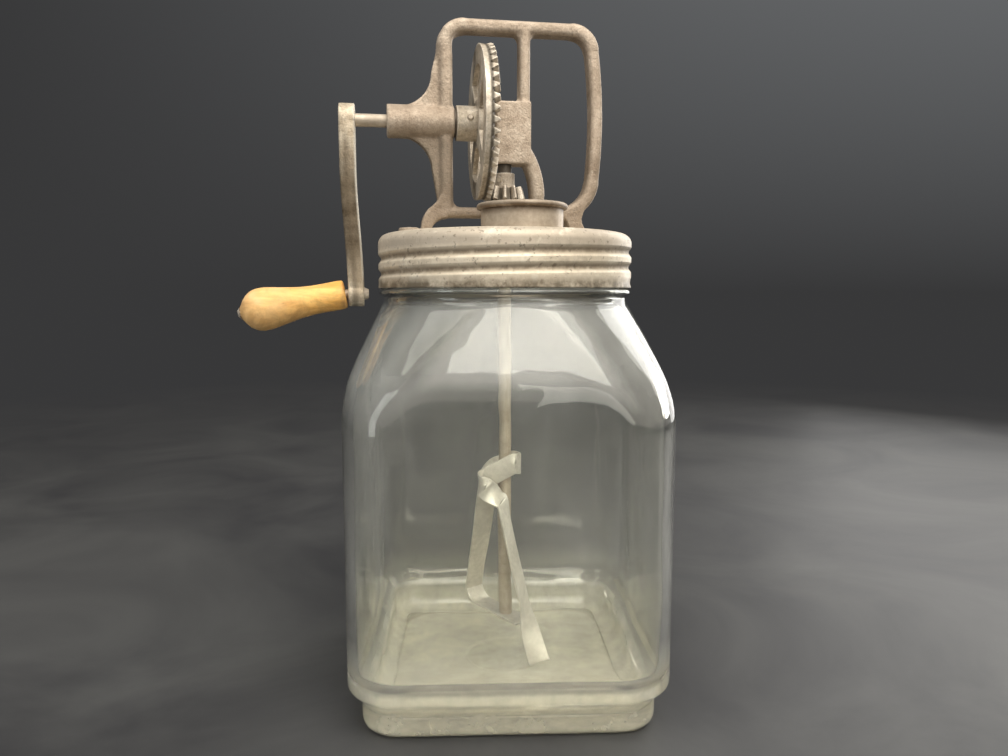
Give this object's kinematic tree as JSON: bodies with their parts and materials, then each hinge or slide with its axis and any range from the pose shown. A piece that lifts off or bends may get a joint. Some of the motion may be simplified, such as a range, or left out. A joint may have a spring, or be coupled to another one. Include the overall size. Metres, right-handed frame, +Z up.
{
  "type": "glass jar butter churn",
  "caption": "Square glass jar butter churn with a screw lid, cast gear frame, hand crank with a wooden grip, bevel gear pair and a folded-strip dasher on an upright shaft",
  "frame": {"origin": "middle of the jar's flat foot, on the table", "axes": "+Z up; one flat face of the jar looks towards -Y; the crank stands to -X"},
  "size_m": [0.2144, 0.157, 0.3456],
  "materials": {
    "jar_glass": "pressed clear glass with a faint green tint",
    "gasket_rubber": "matt old rubber",
    "lid_metal": "dull tinned sheet metal with grime in the grooves",
    "bright_metal": "dull tinned metal",
    "shaft_metal": "drawn steel with a worn tin coat",
    "cast_metal": "tinned sand casting, worn to brown",
    "gear_metal": "worn casting, oily between the teeth",
    "grip_wood": "turned hardwood, worn varnish"
  },
  "bodies": {
    "jar": {"glass_jar": "jar_glass"},
    "gasket": {"lid_gasket": "gasket_rubber"},
    "lid": {"screw_lid": "lid_metal", "strainer_collar": "lid_metal", "strainer_mesh": "bright_metal", "gear_frame": "cast_metal", "frame_rivets": "bright_metal", "rivet_burrs": "bright_metal"},
    "crank": {"crank_shaft": "shaft_metal", "crank_washer": "shaft_metal", "crank_arm": "cast_metal", "drive_gear": "gear_metal", "gear_pin": "shaft_metal", "handle_spindle": "shaft_metal"},
    "grip": {"handle_grip": "grip_wood"},
    "dasher": {"dasher_shaft": "shaft_metal", "pinion_gear": "gear_metal", "pinion_pin": "shaft_metal", "thrust_washer": "shaft_metal", "dasher_blade": "bright_metal", "foot_burr": "bright_metal"}
  },
  "joints": [
    {"name": "lid_lift", "type": "slide", "parent": "jar", "child": "gasket", "axis": [0, 0, 1], "range_m": [0, 0.26]},
    {"name": "lid_turn", "type": "hinge", "parent": "gasket", "child": "lid", "pos_m": [0, 0, 0.2377], "axis": [0, 0, 1], "range_deg": [0, 450]},
    {"name": "crank_turn", "type": "hinge", "parent": "lid", "child": "crank", "pos_m": [0, 0, 0.29446], "axis": [0.9936, 0.1132, 0], "continuous": true},
    {"name": "grip_spin", "type": "hinge", "parent": "crank", "child": "grip", "pos_m": [-0.08178, -0.00932, 0.20739], "axis": [-0.9769, -0.1113, -0.1822], "continuous": true},
    {"name": "dasher_turn", "type": "hinge", "parent": "lid", "child": "dasher", "pos_m": [0, 0, 0.1], "axis": [0, 0, 1], "continuous": true}
  ],
  "couplings": [
    {"joint": "dasher_turn", "follows": "crank_turn", "ratio": -4}
  ]
}
